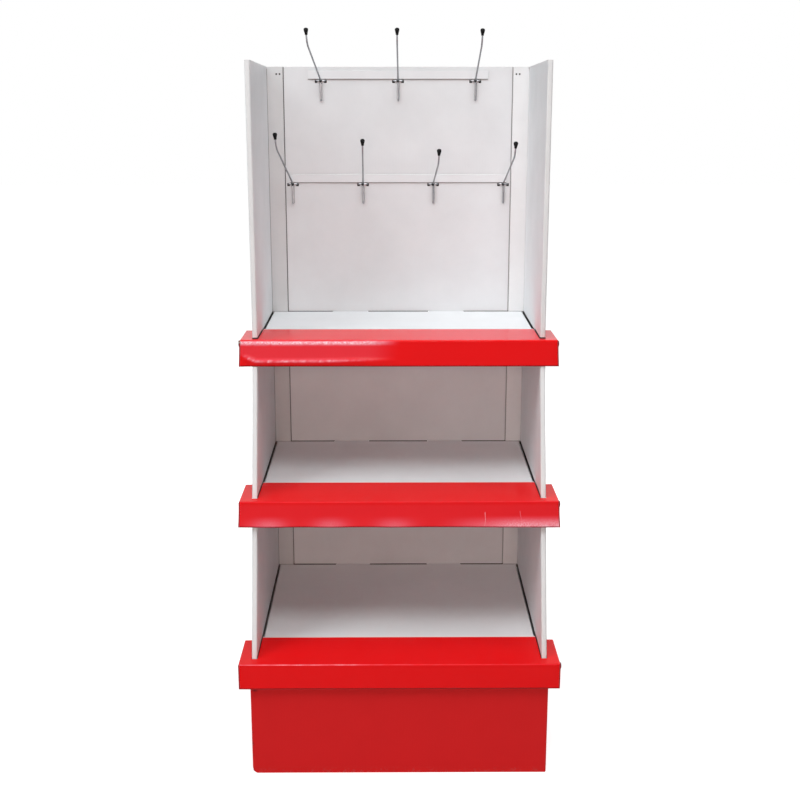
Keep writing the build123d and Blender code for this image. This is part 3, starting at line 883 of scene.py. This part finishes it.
def dress_shelf(step):
    """One shelf: a tray folded down at front and sides, a little sagged, with tabs into back and sides."""
    name = f"shelf_{level_names[step]}"
    top = levels[step] - cap_card
    front = cap_fronts[step] + cap_card + slot_play
    depth = shelf_rear - front
    front_half = inner_half_front - shelf_gap
    tab_end = body_half - board - slot_play
    tabs = [depth * (1 - share) for share in side_tab_shares]
    slit = depth - max(tray_slit, plinth_front + board + 1 - front if step == 0 else 0)

    def half_at(forward):
        share = (depth - min(max(forward, 0), depth)) / depth
        return front_half + (inner_half_rear - inner_half_front) * share

    def place(across, forward):
        reach, side = abs(across), 1 if across > 0 else -1
        half = half_at(forward)
        x, y, z = reach / front_half * half, shelf_rear - forward, top
        if forward > depth:
            y, z = front, top - (forward - depth)
        elif reach > front_half:
            x = half + max(reach - front_half - tray_wall, 0)
            z = top - min(reach - front_half, tray_wall)
        behind, drop = soften(y - front, top - z, tray_fold)
        y, z = front + behind, top - drop
        inside, drop = soften(half - x, top - z, tray_fold) if forward <= depth else (half - x, top - z)
        x, z = half - inside, top - drop
        across_share, along_share = min(reach / front_half, 1), min(max(forward, 0) / depth, 1)
        sag = shelf_sag * (1 - across_share ** 2) * sin(pi * along_share) if forward <= depth else 0
        return (side * x, y, z - sag), (forward, across)

    def kept(across, forward):
        reach = abs(across)
        if forward < 0:
            return abs(reach - rear_tab_place) < rear_tab_half
        if forward > depth:
            return reach < front_half
        if reach > front_half + tray_wall:
            return any(abs(forward - tab) < side_tab_half for tab in tabs)
        return reach < front_half or forward < slit

    # the tray's turned-down side walls are painted dark as shade
    def painted_light_and_marks(across, forward):
        return gap_shade if abs(across) > front_half + 2 else 0

    tab_reach = tab_end - front_half - 2
    across_marks = fold_lines(front_half, tray_fold) + [front_half + tray_wall]
    across_marks += [rear_tab_place - rear_tab_half, rear_tab_place + rear_tab_half]
    across_end = front_half + tray_wall + tab_reach
    both_sides = [side * mark for mark in across_marks for side in (-1, 1)]
    columns = grid_lines(-across_end, across_end, shelf_cell, *both_sides, 0)
    forward_marks = fold_lines(depth, tray_fold) + [slit, 0]
    forward_marks += [tab + side * side_tab_half for tab in tabs for side in (-1, 1)]
    rows = grid_lines(shelf_rear - back_rear, depth + tray_wall + board, shelf_cell, *forward_marks)
    mesh = fold_sheet(columns, rows, place, kept, turned=True, painted_light_and_marks=painted_light_and_marks)
    finish_piece(f"{name}_tray", mesh, shelf_skins, name)


def dress_rail(name, half, top):
    """One strip above a row of hooks, its front edges a little crushed and its lower edge painted dark as
    shade.
    """
    low = top - rail_height

    def place(x, z):
        at_edge = min(half - abs(x), top - z, z - low) < same_place
        return (x, flange_front + (rail_crush if at_edge else 0), z), (z, x)

    def painted_light_and_marks(x, z):
        return rail_edge_shade if z < low + same_place else 0

    columns = grid_lines(-half, half, rail_cells[0], *[side * (half - rail_crush) for side in (-1, 1)])
    rows = grid_lines(low, top, rail_cells[1], top - rail_crush, low + rail_crush)
    mesh = fold_sheet(columns, rows, place, painted_light_and_marks=painted_light_and_marks, flat_back=back_front)
    finish_piece(f"hook_rail_{name}_strip", mesh, rail_skins, f"hook_rail_{name}")


# Plinth

# Dark marks on the plinth's front, the first a painted shadow under the cap's left end and the rest specks by
# the left edge: place, height, half width, half height and strength
plinth_shade_and_specks = (
    (-291.0, 184.0, 5.0, 1.8, 0.9), (-297.5, 66.0, 1.6, 4.0, 0.6), (-298.0, 41.0, 1.4, 2.5, 0.5),
    (-297.0, 92.0, 1.4, 2.0, 0.4),
)


def dress_plinth():
    """Plinth: a printed sheet wrapped round the foot, joined at the back, with one crushed foot corner."""
    corners = (
        (plinth_seam, plinth_rear), (-plinth_half, plinth_rear), (-plinth_half, plinth_front),
        (plinth_half, plinth_front), (plinth_half, plinth_rear), (plinth_seam + seam_gap, plinth_rear))
    long_shares = firm_shares(16, 600)
    front_shares = sorted({*long_shares, 0.003, 0.006, 0.01, 0.014, 0.018, 0.024, 0.03})
    left_shares = sorted({*long_shares, 0.97, 0.98, 0.985, 0.99, 0.995})
    shares = (firm_shares(12, 500), left_shares, front_shares, long_shares, firm_shares(6, 110))
    path = bent_path(corners, (plinth_corner,) * 4, shares)
    run = run_lengths(path)
    foot = Vector((-plinth_half, plinth_front))

    def place(column, z):
        x, y = path[column]
        if y < plinth_front + 1:
            swell = (1 - (x / plinth_half) ** 2) * sin(pi * min(z / plinth_height, 1)) * bell(z, 90, 120)
            y -= plinth_bulge * swell
        crushed = max(0, 1 - hypot((path[column] - foot).length, z * 0.8) / crush_reach) ** 1.6
        push = [reach * crushed for reach in crush_push]
        return (x + push[0], y + push[1], z + push[2]), (run[column], z)

    # painted shadow and dark specks on the front only
    def painted_light_and_marks(column, z):
        x, y = path[column]
        if y > plinth_front + plinth_corner + same_place:
            return 0
        return max(strength * bell(hypot((x - at_x) / wide, (z - at_z) / high), 0, 1)
                   for at_x, at_z, wide, high, strength in plinth_shade_and_specks)

    crush_rows = (2, 4, 6, 9, 12, 16)
    mark_rows = (-2, -1.2, -0.5, 0, 0.5, 1.2, 2)
    marks = [z + reach * high for _, z, _, high, _ in plinth_shade_and_specks for reach in mark_rows]
    rows = grid_lines(0, plinth_height, plinth_cell, *crush_rows, *marks)
    mesh = fold_sheet(range(len(path)), rows, place, painted_light_and_marks=painted_light_and_marks)
    finish_piece("plinth_sheet", mesh, plinth_skins, "plinth")


# Caps

def bottom_cap_lip(x, drop):
    """The bottom cap is crisp: its lip leans in a little and waves very slightly."""
    return (0.8 + 0.4 * uneven(x, drop, 90, 60, 1.5)) * drop / lip_height


# Upright wrinkles of the middle lip: place along the cap, drop where each starts, and height
middle_wrinkles = ((173, 24, 0.5), (179, 36, 0.2), (243, 20, 0.35), (206, 42, 0.2))
# Pale scratches on the middle lip: points as place along the cap and drop below its fold, and strength
middle_scratches = (
    (((172, 23), (173, 38), (172, 49), (169, 54)), 0.75),
    (((242, 20), (243, 29), (245, 38)), 0.4),
)


def off_line(x, drop, points):
    """Distance of a point from a line of points."""
    spot = Vector((x, drop))
    best = 1e9
    for start, end in zip(points, points[1:]):
        start, end = Vector(start), Vector(end)
        share = min(max((spot - start).dot(end - start) / (end - start).length_squared, 0), 1)
        best = min(best, (spot - start.lerp(end, share)).length)
    return best


def curl_patches(x):
    """How far the middle cap's foot curls out along its length."""
    return bell(x, -262, 32) + 0.9 * bell(x, -138, 32) + 0.8 * bell(x, -10, 34) + 1.5 * ease(x, 60, 260)


def middle_cap_lip(x, drop):
    """The middle cap's lip curls out along its foot in patches, most to the right, and wrinkles there."""
    out = -2.6 * (0.35 + curl_patches(x)) * (max(drop - 26, 0) / (lip_height - 26)) ** 1.8
    for place, start, height in middle_wrinkles:
        ridge = bell(x, place + 0.05 * (drop - 30), 1.3) - 0.5 * bell(x, place + 3, 2.2)
        out -= height * ridge * ease(drop, start, start + 14)
    return out + 0.5 * uneven(x, drop, 45, 40, 7.5)


def crease_height(x):
    """Drop of the top cap's crease below its fold."""
    return 43 - 12 * ease(-x, 285, 318) - 3 * ease(x, -200, 0)


def top_cap_lip(x, drop):
    """The top cap's lip steps out along a crease in its left half, which turns up near the end."""
    crease = crease_height(x)
    strength = (1 - ease(x, -170, 30)) * ease(x, -318, -300)
    step = -2.6 * strength * (ease(drop, crease - 6, crease) - 1.5 * ease(drop, crease + 0.5, lip_height))
    return step + 0.35 * uneven(x, drop, 60, 40, 3.5)


def bottom_cap_highlight(x, drop):
    """The bottom cap's fold has a broken painted highlight along its left half."""
    dashes = 0.65 + 0.5 * uneven(x, 0, 16, 1, 4.5)
    return (1.0 - 0.75 * ease(x, -110, -30) - 0.15 * ease(x, 0, 60)) * bell(drop, 0.3, 0.9) * dashes


def middle_cap_scratches_and_highlight(x, drop):
    """The middle cap has pale scratch lines on its wrinkles and painted highlights on its curled foot, lip
    and fold.
    """
    lines = [strength * bell(off_line(x, drop, points), 0, 0.55) for points, strength in middle_scratches]
    curl = curl_patches(x)
    foot = 0.03 * ease(drop, 2, 10) + (0.34 * min(curl, 1) + 0.6 * max(curl - 1, 0)) * ease(drop, 28, 53)
    return max(*lines, foot, 0.05 * bell(drop, 0, 1.5))


def top_cap_highlight(x, drop):
    """The top cap's bubbled film has painted highlights along the left of its fold and its crease, faint on
    lip and panel.
    """
    left, height = 1 - ease(x, -70, 5), crease_height(x)
    beads = 0.5 + 0.5 * uneven(x, drop, 3.6, 5, 2.5)
    fold = bell(drop, 4.6, 4.8) * min(1, 0.4 + 1.1 * beads)
    fade = (1 - ease(x, -160, -10)) * ease(x, -318, -304)
    ridge = 1.1 * bell(drop, height - 0.5, 1.9) * beads ** 1.5 + 0.13 * bell(drop, height - 4, 6)
    above = 0.085 * ease(drop, 0, 6) * (1 - ease(drop, height - 3, height + 2))
    panel = (0.03 + 0.06 * ease(x, -60, 160)) * ease(drop, -2, -6)
    return max(left * fold, fade * ridge, left * above, panel)


# Each cap's lip shape and painted highlights, the bend of its fold at the left and right end, the bumps on
# the fold, and the flare at its foot
cap_shapes = {
    "bottom": (bottom_cap_lip, bottom_cap_highlight, 2.4, 2.4, 0.0, 0.0),
    "middle": (middle_cap_lip, middle_cap_scratches_and_highlight, 2.0, 2.0, 0.1, 2.4),
    "top": (top_cap_lip, top_cap_highlight, 7.0, 2.6, 0.75, 2.4),
}


def dress_cap(step):
    """One cap: glossy card folded over the shelf's front, notched round the sides, with flaps at its ends."""
    name = level_names[step]
    level, front = levels[step], cap_fronts[step]
    lip_shape, lip_highlight_and_marks, left_bend, right_bend, bumps, flare = cap_shapes[name]
    notch_front = side_front(level) - 1 - front

    def bend_at(x):
        return left_bend + (right_bend - left_bend) * ease(x, -150, 40)

    def place(across, forward):
        reach, side = abs(across), 1 if across > 0 else -1
        behind, drop = max(cap_depth - forward, 0), max(forward - cap_depth, 0)
        x = reach
        on_lip = forward > cap_depth
        if on_lip and reach > lip_half:
            x, behind = lip_half, reach - lip_half
        elif not on_lip and reach > cap_half:
            x, drop = cap_half, reach - cap_half
        bend = bend_at(side * x)
        if on_lip or reach < cap_half + bend:
            behind, drop = soften(behind, drop, bend)
        if not on_lip:
            inside, drop = soften(cap_half - x, drop, end_bend)
            x = cap_half - inside
            if reach > cap_half and behind > cap_depth - flap_corner and drop > lip_height - flap_corner:
                out = Vector((behind - (cap_depth - flap_corner), drop - (lip_height - flap_corner)))
                if out.length > flap_corner:
                    out *= flap_corner / out.length
                    behind, drop = cap_depth - flap_corner + out.x, lip_height - flap_corner + out.y
        if reach <= cap_half or on_lip:
            near_fold = bell(behind + drop, bend, 8)
            lumps = uneven(side * x, behind - drop, 7, 5, step * 9.0)
            lift = bumps * lumps * near_fold * (1 - ease(side * x, -120, 20))
            behind -= 0.6 * lift
            drop -= 0.6 * lift
        share = ease(behind, 40, 0) * min(max(drop, 0) / 6, 1)
        behind += lip_shape(side * x, drop) * share + 1.0 * ease(drop, lip_height - 1.6, lip_height) * share
        x += flare * (max(drop, 0) / lip_height) ** 1.6 * ease(x, 285, 315)
        return (side * x, front + behind, level - drop), (across, forward + tongue_length)

    # painted highlights and pale scratches on the film, kept off the end flaps
    def painted_light_and_marks(across, forward):
        return lip_highlight_and_marks(across, forward - cap_depth) if abs(across) < cap_half else 0

    def kept(across, forward):
        reach, drop = abs(across), forward - cap_depth
        if drop > 0:
            in_tab = reach < lip_half + corner_tab and drop > lip_slit
            return reach < lip_half or in_tab
        if forward < 0:
            return reach < notch_edges[0]
        return not (notch_edges[0] < reach < notch_edges[1] and -drop > notch_front)

    def punched(across, forward):
        reach, drop = abs(across), forward - cap_depth
        on_flap = abs(reach - cap_half - rivet_drop) < 1 and abs(drop + rivet_inset) < 1
        return rivet_hole if on_flap else None

    hole = rivet_hole + 1.0
    across_marks = [*notch_edges, lip_half - fold_margin, lip_half, cap_half + lip_height - flap_corner]
    across_marks += fold_lines(cap_half, end_bend)
    across_marks += [cap_half + rivet_drop - hole, cap_half + rivet_drop + hole]
    columns = [side * mark for mark in across_marks for side in (-1, 1)]
    if name == "middle":
        ridge_marks = (-4, -2.4, -1.4, -0.8, -0.3, 0.2, 0.8, 1.6, 2.8, 4)
        columns += [middle + mark for middle, _, _ in middle_wrinkles for mark in ridge_marks]
    across_end = cap_half + lip_height
    columns = grid_lines(-across_end, across_end, cap_cell, *columns, 0)
    bend = max(left_bend, right_bend)
    forward_marks = [cap_depth - notch_front, cap_depth - rivet_inset - hole, cap_depth - rivet_inset + hole]
    forward_marks += [*fold_lines(cap_depth, bend), *fold_lines(cap_depth, tight_bend), cap_depth + lip_slit]
    forward_marks += [cap_depth + lip_height - reach for reach in (0.7, 1.6)]
    panel_rows = grid_lines(-tongue_length, cap_depth, panel_row, 0, *forward_marks)
    lip_rows = grid_lines(cap_depth, cap_depth + lip_height, lip_row, *forward_marks)
    rows = sorted({*panel_rows, *lip_rows})
    mesh = fold_sheet(columns, rows, place, kept, punched, thickness=cap_card, turned=True, painted_light_and_marks=painted_light_and_marks)
    if step == 0:
        # the foremost card stays behind the stand's front
        for vert in mesh.verts:
            vert.co.y = max(vert.co.y, front * MM)
    finish_piece(f"cap_{name}_card", mesh, cap_skins, f"cap_{name}")


# Wire and plastic

def skin_rings(mesh, rings):
    """Joins rings of points into one closed skin."""
    for ring, following in zip(rings, rings[1:]):
        for corner in range(len(ring)):
            ahead = (corner + 1) % len(ring)
            mesh.faces.new((ring[corner], ring[ahead], following[ahead], following[corner]))
    mesh.faces.new(list(reversed(rings[0])))
    mesh.faces.new(rings[-1])


def sweep_wire(mesh, path, radius, sides=14):
    """Adds a round wire along a path of points, with slightly rounded ends."""
    points = [Vector(point) for point in path]
    first, last = (points[0] - points[1]).normalized(), (points[-1] - points[-2]).normalized()
    cut = radius * 0.3
    stations = [(points[0], radius * 0.75), (points[0] - first * cut, radius)]
    stations += [(point, radius) for point in points[1:-1]]
    stations += [(points[-1] - last * cut, radius), (points[-1], radius * 0.75)]
    side = None
    rings = []
    for number, (centre, size) in enumerate(stations):
        ahead = stations[min(number + 1, len(stations) - 1)][0] - stations[max(number - 1, 0)][0]
        ahead.normalize()
        if side is None:
            side = ahead.orthogonal().normalized()
        side = (side - ahead * side.dot(ahead)).normalized()
        up = ahead.cross(side)
        turns = [2 * pi * corner / sides for corner in range(sides)]
        ring = [centre + (side * cos(turn) + up * sin(turn)) * size for turn in turns]
        rings.append([mesh.verts.new(point * MM) for point in ring])
    skin_rings(mesh, rings)


def bend_wire(corners, bends, steps=6):
    """Path of a wire with a round bend at each inner corner."""
    corners = [Vector(corner) for corner in corners]
    path = [corners[0]]
    for before, corner, after, bend in zip(corners, corners[1:], corners[2:], bends):
        into, out = (before - corner).normalized(), (after - corner).normalized()
        half_angle = into.angle(out) / 2
        reach = bend / (sin(half_angle) / cos(half_angle))
        inward = (into + out).normalized()
        centre = corner + inward * bend / sin(half_angle)
        first, last = corner + into * reach - centre, corner + out * reach - centre
        spread = first.angle(last)
        for step in range(steps + 1):
            share = step / steps
            arc = first * sin((1 - share) * spread) + last * sin(share * spread)
            path.append(centre + arc / sin(spread))
    return path + [corners[-1]]


def turn_profile(mesh, origin, axis, profile, sides=24):
    """Adds a turned form: its profile is distances along the axis and radii, between two closed ends."""
    axis = Vector(axis).normalized()
    right = axis.orthogonal().normalized()
    up = axis.cross(right)
    rings = []
    for along, radius in profile:
        centre = Vector(origin) + axis * along
        turns = [2 * pi * corner / sides for corner in range(sides)]
        ring = [centre + (right * cos(turn) + up * sin(turn)) * radius for turn in turns]
        rings.append([mesh.verts.new(point * MM) for point in ring])
    skin_rings(mesh, rings)


def arm_direction(swing, tilt):
    """Direction of an arm to the front, swung sideways and tilted up by shares of a quarter turn."""
    swing, tilt = radians(swing * quarter_turn), radians(tilt * quarter_turn)
    return Vector((sin(swing) * cos(tilt), -cos(swing) * cos(tilt), sin(tilt)))


# Profiles from end to end: distance along the axis, and radius
weld_profile = ((-1.6, 0.4), (-1.2, 1.5), (0.0, 2.1), (1.2, 1.5), (1.6, 0.4))
tip_profile = (
    (0.0, 1.9), (0.0, 2.75), (0.5, 3.0), (1.2, 3.0), (1.7, 2.8), (4.5, 3.5), (7.5, 4.25), (9.4, 4.65),
    (10.6, 4.75), (11.8, 4.5), (12.7, 3.9), (13.4, 2.8), (13.85, 1.4), (14.0, 0.35),
)


def dress_hook(name, x, z, swing, tilt):
    """One hook: a crossbar with prongs through the back, and one wire bent into a hairpin leg and an arm."""
    foot = Vector((x, bar_y, z))
    mesh = bmesh.new()
    bar_stops = (
        (-1, tail_y, prong_rise), (-1, tail_y, 0), (-1, bar_y, 0),
        (1, bar_y, 0), (1, tail_y, 0), (1, tail_y, prong_rise))
    bar = [(x + side * prong_half, y, z + rise) for side, y, rise in bar_stops]
    sweep_wire(mesh, bend_wire(bar, (prong_bend,) * 4), bar_radius)
    bar_faces = len(mesh.faces)
    ahead = bar_y - bar_radius - wire_radius + weld_sink
    low = z - leg_length + wire_radius
    (near_x, near_y), (far_x, far_y) = leg_places
    bend = foot + arm_direction(swing, tilt) * arm_length
    end_way = arm_direction(swing, tilt + end_turn / quarter_turn)
    end = bend + end_way * end_length
    wire = [
        (x + far_x, far_y, z - leg_end_drop), (x + far_x, far_y, low), (x + near_x, near_y, low),
        (x + near_x, ahead, z + arm_start_rises[0]), (x, ahead, z + arm_start_rises[1]), bend, end]
    sweep_wire(mesh, bend_wire(wire, (leg_bend, leg_bend, *arm_start_bends, arm_bend)), wire_radius)
    for side in (-1, 1):
        weld = (x + near_x + side * wire_radius, (ahead + bar_y) / 2 + weld_shift[0], z + weld_shift[1])
        turn_profile(mesh, weld, (side, 0, 0), weld_profile, sides=12)
    # the wire and welds near the crossing take the painted shade
    crossing = Vector((x + near_x, ahead, z)) * MM
    for face in list(mesh.faces)[bar_faces:]:
        if (face.calc_center_median() - crossing).length < weld_shade_reach * MM:
            face.material_index = 1
    finish_piece(f"hook_{name}_wire", mesh, (zinc, weld_shade), f"hook_{name}")

    tip = bmesh.new()
    turn_profile(tip, end - end_way * tip_cover, end_way, tip_profile)
    finish_piece(f"hook_tip_{name}_cap", tip, (black_plastic,), f"hook_tip_{name}")


# The rivet's profile from its washer to its head
rivet_profile = (
    (-8.3, 0.6), (-8.3, 5.2), (-7.9, 5.75), (-6.6, 5.75), (-6.3, 5.5), (-6.3, 2.8), (-0.02, 2.8),
    (-0.02, 6.6), (0.2, 7.0), (0.8, 7.0), (1.6, 6.5), (2.3, 5.6), (2.75, 4.4), (2.95, 3.2), (2.6, 2.9),
    (2.55, 2.6), (2.85, 2.1), (2.9, 0.4),
)


def dress_rivets():
    """Push rivets at the caps' ends: a domed head with its pin, a shank and a washer inside."""
    mesh = bmesh.new()
    for name, side in rivet_places:
        step = level_names.index(name)
        spot = (side * cap_half, cap_fronts[step] + rivet_inset, levels[step] - rivet_drop)
        turn_profile(mesh, spot, (side, 0, 0), rivet_profile)
    finish_piece("cap_rivets_moulded", mesh, (black_plastic,), "cap_rivets")


for side_name, side_sign in (("left_side", -1), ("right_side", 1)):
    dress_side(side_name, side_sign)
dress_back()
for level_step in range(len(levels)):
    dress_shelf(level_step)
    dress_cap(level_step)
for rail_name, (rail_half, rail_top) in rails.items():
    dress_rail(rail_name, rail_half, rail_top)
dress_plinth()
for hook in hooks:
    dress_hook(*hook)
dress_rivets()
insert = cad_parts["plinth_insert"]
insert.data.materials.clear()
insert.data.materials.append(kraft)


# Floor, light and camera

floor_mesh = bpy.data.meshes.new("floor")
floor_half = 20.0
floor_corners = [(floor_half * x, floor_half * y, 0) for x, y in ((-1, -1), (1, -1), (1, 1), (-1, 1))]
floor_mesh.from_pydata(floor_corners, [], [(0, 1, 2, 3)])
floor_mesh.materials.append(pale_floor())
floor = bpy.data.objects.new("floor", floor_mesh)
bpy.context.scene.collection.objects.link(floor)
floor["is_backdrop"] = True


def soft_box(name, place, target, size, power, tint="#FFFFFF", in_reflections=True):
    """A rectangular lamp that faces a target."""
    lamp = bpy.data.lights.new(name, "AREA")
    lamp.shape = "RECTANGLE"
    lamp.size, lamp.size_y = size
    lamp.energy = power
    lamp.color = colour(tint)[:3]
    holder = bpy.data.objects.new(name, lamp)
    holder.location = place
    holder.visible_camera = False
    holder.visible_glossy = in_reflections
    holder.rotation_euler = (Vector(target) - Vector(place)).to_track_quat("-Z", "Y").to_euler()
    bpy.context.scene.collection.objects.link(holder)


# Studio lamps: place and target in metres, width and height in metres, watts and tint
soft_box("key_light", (-3.0, -2.15, 4.7), (0, 0, 0.8), (2.6, 2.8), 99, "#F8FEFF")
soft_box("front_light", (0.0, -3.4, 1.3), (0, 0, 0.7), (0.9, 0.9), 30.5, "#FFE0D4")
soft_box("high_light", (0.0, -2.4, 3.9), (0, 0, 0.7), (1.4, 1.0), 44, "#F6FEFF")
soft_box("left_light", (-2.4, -2.4, 1.6), (0, 0, 0.8), (1.2, 1.4), 11.5, "#FFFBFA")
soft_box("top_light", (-0.2, -0.7, 3.6), (-0.1, -0.1, 0.8), (2.6, 2.0), 31.5, "#F6FEFF")
soft_box("right_light", (2.2, -0.6, 3.4), (-0.2, 0, 1.1), (1.2, 1.2), 17.5)
soft_box("rear_light", (0.9, 3.4, 1.4), (0, 0.1, 0.8), (2.2, 1.2), 85, in_reflections=False)

world = bpy.data.worlds.new("studio")
world.use_nodes = True
world.node_tree.nodes.clear()
sky = world.node_tree
soft_fill = node(sky, "ShaderNodeBackground", {"Color": colour("#FFF0EF"), "Strength": 0.02})
white_wall = node(sky, "ShaderNodeBackground", {"Color": colour("#FFFFFF"), "Strength": 1.0})
sky_mix = node(sky, "ShaderNodeMixShader", {
    0: seen_directly(sky), 1: soft_fill.outputs["Background"], 2: white_wall.outputs["Background"]})
node(sky, "ShaderNodeOutputWorld", {"Surface": sky_mix.outputs["Shader"]})
bpy.context.scene.world = world
bpy.context.scene.view_settings.view_transform = "Standard"

# The camera looks a little down from just below the stand's top, with the photograph's field of view
camera_tilt = 13.58
camera_turn = 0.35
lens = bpy.data.cameras.new("camera")
lens.sensor_width = 36.0
lens.lens = 53.456
camera = bpy.data.objects.new("camera", lens)
camera.location = (-0.01229, -2.44968, 1.3128)
camera.rotation_euler = (radians(quarter_turn - camera_tilt), 0, radians(-camera_turn))
bpy.context.scene.collection.objects.link(camera)
bpy.context.scene.camera = camera

[[list(corner) for corner in box] for box in (cad_box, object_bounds())]
